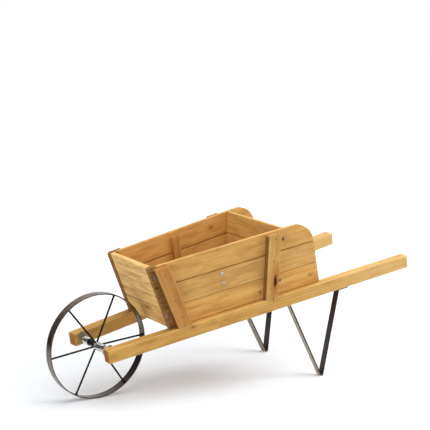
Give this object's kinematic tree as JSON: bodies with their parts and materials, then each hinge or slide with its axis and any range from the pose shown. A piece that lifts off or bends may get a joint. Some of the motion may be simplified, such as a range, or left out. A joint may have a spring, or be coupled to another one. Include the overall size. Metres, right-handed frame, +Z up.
{
  "type": "flower cart stand",
  "caption": "Low wooden garden cart stand: a slatted planter box on spreading rails, with a spoked wheel at the front and bent strap legs behind.",
  "frame": {"origin": "on the ground, under the middle of the bounding box", "axes": "+X from the wheel to the handles, +Y to the right-hand side of someone who pushes it from the handles, +Z up"},
  "size_m": [1.0376, 0.3706, 0.4375],
  "materials": {
    "wood": "oiled golden-brown softwood boards",
    "pale_wood": "oiled pale yellow softwood",
    "dark_steel": "dark brown satin painted flat bar",
    "rim_steel": "brown-grey rolled steel band",
    "black_rod": "black satin painted round rod",
    "zinc": "bright zinc plated steel"
  },
  "bodies": {
    "frame": {"rail_left": "pale_wood", "side_board_left_1": "wood", "side_board_left_2": "wood", "side_board_left_3": "wood", "batten_left_front": "wood", "batten_left_rear": "wood", "ledger_left": "wood", "cleat_left": "wood", "rail_right": "pale_wood", "side_board_right_1": "wood", "side_board_right_2": "wood", "side_board_right_3": "wood", "batten_right_front": "wood", "batten_right_rear": "wood", "ledger_right": "wood", "cleat_right": "wood", "front_board_1": "pale_wood", "front_board_2": "pale_wood", "front_board_3": "pale_wood", "rear_board_1": "pale_wood", "rear_board_2": "pale_wood", "rear_board_3": "pale_wood", "floor_slat_1": "wood", "floor_slat_2": "wood", "floor_slat_3": "wood", "floor_slat_4": "wood", "floor_slat_5": "wood", "leg_left": "dark_steel", "leg_screw_left": "zinc", "screw_left_front_1": "zinc", "screw_left_front_2": "zinc", "screw_left_rear_1": "zinc", "screw_left_rear_2": "zinc", "screw_left_cleat_1": "zinc", "screw_left_cleat_2": "zinc", "axle_plate_left": "zinc", "collar_left": "zinc", "leg_right": "dark_steel", "leg_screw_right": "zinc", "screw_right_front_1": "zinc", "screw_right_front_2": "zinc", "screw_right_rear_1": "zinc", "screw_right_rear_2": "zinc", "screw_right_cleat_1": "zinc", "screw_right_cleat_2": "zinc", "axle_plate_right": "zinc", "collar_right": "zinc", "axle_rod": "zinc"},
    "wheel": {"wheel_rim": "rim_steel", "wheel_hub": "black_rod", "wheel_spoke_1": "black_rod", "wheel_spoke_2": "black_rod", "wheel_spoke_3": "black_rod", "wheel_spoke_4": "black_rod", "wheel_spoke_5": "black_rod", "wheel_spoke_6": "black_rod"}
  },
  "joints": [
    {"name": "wheel_spin", "type": "hinge", "parent": "frame", "child": "wheel", "pos_m": [-0.37884, 0, 0.14], "axis": [0, 1, 0], "continuous": true}
  ]
}
